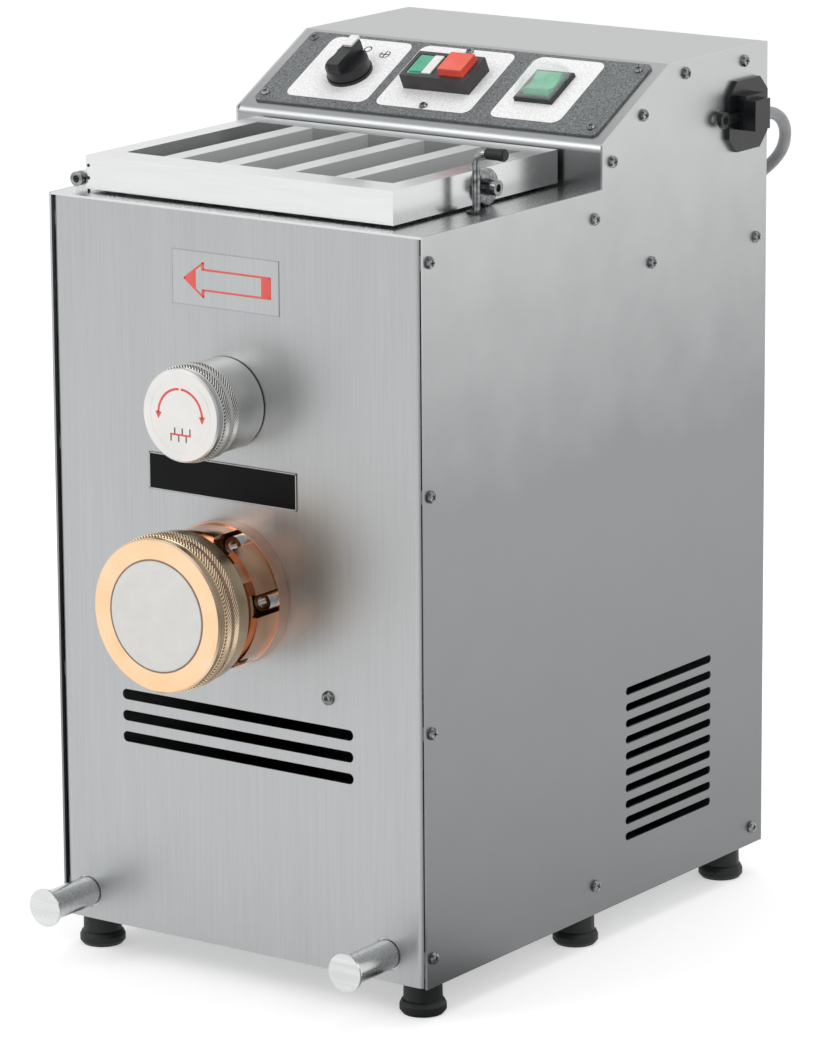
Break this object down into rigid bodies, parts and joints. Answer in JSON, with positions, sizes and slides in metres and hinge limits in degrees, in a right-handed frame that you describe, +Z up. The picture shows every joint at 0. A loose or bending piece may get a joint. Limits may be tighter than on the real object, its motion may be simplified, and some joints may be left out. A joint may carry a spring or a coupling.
{
  "type": "electric pasta maker",
  "caption": "Countertop pasta maker: steel casing with a lidded mixing tank, sloped control console, front die head with ring nut and plug, mixer knob and rubber feet.",
  "frame": {"origin": "on the floor under the middle of the machine's footprint, pegs, knobs and cord gland included, without the free cord", "axes": "+Z up; the front panel faces -Y; +X to the viewer's right when facing the front"},
  "size_m": [0.3105, 0.6357, 0.5745],
  "materials": {
    "brushed_front_steel": "vertical grain",
    "satin_side_steel": "satin",
    "polished_lid_steel": "polished",
    "inner_steel": "mill finish",
    "screw_steel": "bright",
    "dark_drive_steel": "oiled",
    "turned_aluminium": "turned and knurled",
    "cast_aluminium": "cast",
    "turned_brass": "turned and knurled",
    "turned_bronze": "polished",
    "die_bronze": "turned",
    "white_plastic": "smooth",
    "clear_plastic": "clear",
    "black_plastic": "moulded",
    "grey_black_plastic": "moulded",
    "green_plastic": "moulded",
    "red_plastic": "moulded",
    "overlay_film": "fine speckle",
    "label_vinyl": "satin film",
    "nameplate_black": "bare plate",
    "black_rubber": "moulded",
    "switch_plastic": "moulded",
    "capacitor_can": "drawn can",
    "bush_bronze": "sintered",
    "cord_pvc": "smooth sheath"
  },
  "bodies": {
    "casing": {"back_panel": "satin_side_steel", "base_pan": "inner_steel", "bearing_plate": "inner_steel", "blank_nameplate": "nameplate_black", "casing_screws": "screw_steel", "closing_plug": "white_plastic", "console_shell": "satin_side_steel", "contactor": "switch_plastic", "control_overlay": "overlay_film", "cord_coil": "cord_pvc", "cord_gland": "black_plastic", "cord_tube": "cord_pvc", "deck_sheet": "satin_side_steel", "die_head": "turned_bronze", "die_head_screws": "screw_steel", "die_insert": "die_bronze", "drive_chains": "dark_drive_steel", "electrics_shelf": "inner_steel", "fan_cover": "inner_steel", "front_panel": "brushed_front_steel", "front_pegs": "satin_side_steel", "hinge_bolts": "screw_steel", "hinge_brackets": "satin_side_steel", "interlock_switch": "switch_plastic", "label_film": "label_vinyl", "latch_bush": "black_plastic", "left_side_panel": "satin_side_steel", "mains_plug": "black_plastic", "mixer_boss": "turned_aluminium", "mixing_tank": "polished_lid_steel", "motor_housing": "cast_aluminium", "overlay_screws": "screw_steel", "reduction_gearbox": "cast_aluminium", "right_side_panel": "satin_side_steel", "rocker_bezel": "black_plastic", "rocker_hood": "clear_plastic", "rubber_feet": "black_rubber", "run_capacitor": "capacitor_can", "screw_blocks": "inner_steel", "selector_switch": "black_plastic", "shaft_bushes": "bush_bronze", "start_stop_frame": "grey_black_plastic"},
    "lid": {"lid_frame": "polished_lid_steel", "lid_bars": "polished_lid_steel", "lid_catch": "screw_steel"},
    "latch": {"latch_rod": "screw_steel", "latch_grip": "black_rubber"},
    "selector": {"selector_knob": "black_plastic"},
    "start_key": {"start_button": "green_plastic"},
    "stop_key": {"stop_button": "red_plastic"},
    "rocker": {"rocker_key": "green_plastic"},
    "ring": {"ring_nut": "turned_brass"},
    "knob": {"mixer_knob": "turned_aluminium"},
    "press": {"pressing_screw": "die_bronze", "screw_sprockets": "dark_drive_steel"},
    "mixer": {"mixing_arm": "inner_steel", "mixer_sprocket": "dark_drive_steel"},
    "output": {"output_shaft": "dark_drive_steel"},
    "rotor": {"rotor": "dark_drive_steel", "motor_fan": "black_plastic"}
  },
  "joints": [
    {"name": "lid_hinge", "type": "hinge", "parent": "casing", "child": "lid", "pos_m": [-0.1385, -0.057, 0.508], "axis": [0, -1, 0], "range_deg": [0, 100]},
    {"name": "latch_turn", "type": "hinge", "parent": "casing", "child": "latch", "pos_m": [0.117, -0.0738, 0.5], "axis": [0, 0, 1], "range_deg": [0, 180]},
    {"name": "selector_turn", "type": "hinge", "parent": "casing", "child": "selector", "pos_m": [-0.087, 0.07647, 0.54898], "axis": [0, -0.4694, 0.883], "range_deg": [-45, 45]},
    {"name": "start_press", "type": "slide", "parent": "casing", "child": "start_key", "axis": [0, 0.4694, -0.883], "range_m": [0, 0.0025], "stiffness_N_per_m": 400, "springref_m": -0.001},
    {"name": "stop_press", "type": "slide", "parent": "casing", "child": "stop_key", "axis": [0, 0.4694, -0.883], "range_m": [0, 0.0025], "stiffness_N_per_m": 400, "springref_m": -0.001},
    {"name": "rocker_tilt", "type": "hinge", "parent": "casing", "child": "rocker", "pos_m": [0.065, 0.07959, 0.55291], "axis": [1, 0, 0], "range_deg": [-8, 8]},
    {"name": "ring_turn", "type": "hinge", "parent": "casing", "child": "ring", "pos_m": [-0.013, -0.22, 0.258], "axis": [0, 1, 0], "range_deg": [0, 30]},
    {"name": "knob_turn", "type": "hinge", "parent": "casing", "child": "knob", "pos_m": [-0.013, -0.193, 0.38], "axis": [0, 1, 0], "range_deg": [0, 360]},
    {"name": "rotor_spin", "type": "hinge", "parent": "casing", "child": "rotor", "pos_m": [-0.013, 0.157, 0.12], "axis": [0, 1, 0], "continuous": true},
    {"name": "output_spin", "type": "hinge", "parent": "casing", "child": "output", "pos_m": [-0.013, 0.074, 0.12], "axis": [0, 1, 0], "continuous": true},
    {"name": "press_spin", "type": "hinge", "parent": "casing", "child": "press", "pos_m": [-0.013, -0.063, 0.258], "axis": [0, 1, 0], "continuous": true},
    {"name": "mixer_spin", "type": "hinge", "parent": "casing", "child": "mixer", "pos_m": [-0.013, -0.053, 0.38], "axis": [0, 1, 0], "continuous": true}
  ],
  "couplings": [
    {"joint": "output_spin", "follows": "rotor_spin", "ratio": 0.05},
    {"joint": "press_spin", "follows": "rotor_spin", "ratio": 0.023913},
    {"joint": "mixer_spin", "follows": "rotor_spin", "ratio": 0.017935}
  ]
}
